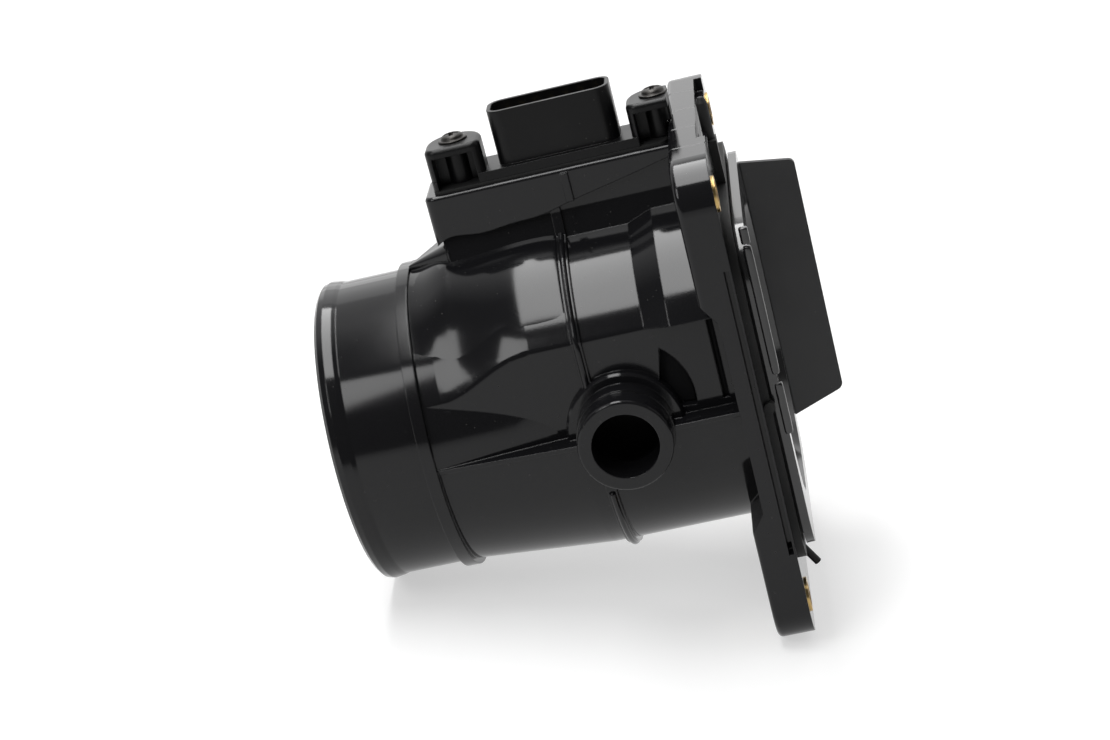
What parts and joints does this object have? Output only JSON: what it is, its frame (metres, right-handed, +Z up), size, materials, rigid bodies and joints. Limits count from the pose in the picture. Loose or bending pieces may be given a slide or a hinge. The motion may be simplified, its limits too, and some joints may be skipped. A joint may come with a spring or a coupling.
{
  "type": "mass airflow sensor",
  "caption": "Mass airflow sensor: black plastic duct with a bolted inlet flange, side hose nipple, flow straightener and a sensor module with a wiring socket on top.",
  "frame": {"origin": "on the duct's axis, in the plane of the flange's sealing face, at the middle of the four bolt holes", "axes": "+X along the duct's axis out of the inlet, +Z up towards the wiring socket, -Y towards the hose nipple"},
  "size_m": [0.1289, 0.099, 0.1435],
  "materials": {
    "housing": "glossy",
    "bushing": "satin",
    "gasket": "matte",
    "inlet": "matte",
    "guide": "matte",
    "channel": "matte",
    "cover": "satin",
    "seal": "matte",
    "screw": "satin",
    "carrier": "matte",
    "board": "satin",
    "chip": "matte",
    "probe": "glossy",
    "capacitor": "satin",
    "terminal": "polished"
  },
  "bodies": {
    "root": {"duct_housing": "housing", "flange_bushings": "bushing", "inlet_gasket": "gasket", "inlet_frame": "inlet", "flow_straightener": "inlet", "intake_guide": "guide", "vortex_channel": "channel", "vortex_generator": "channel", "vortex_stabiliser": "channel", "module_head": "cover", "module_seal": "seal", "module_screws": "screw", "screw_inserts": "bushing", "sensor_carrier": "carrier", "circuit_board": "board", "pressure_port": "carrier", "pressure_sensor": "chip", "barometric_sensor": "chip", "air_temperature_sensor": "probe", "board_capacitors": "capacitor", "terminal_1": "terminal", "terminal_2": "terminal", "terminal_3": "terminal", "terminal_4": "terminal", "terminal_5": "terminal", "terminal_6": "terminal", "terminal_7": "terminal"}
  },
  "joints": []
}
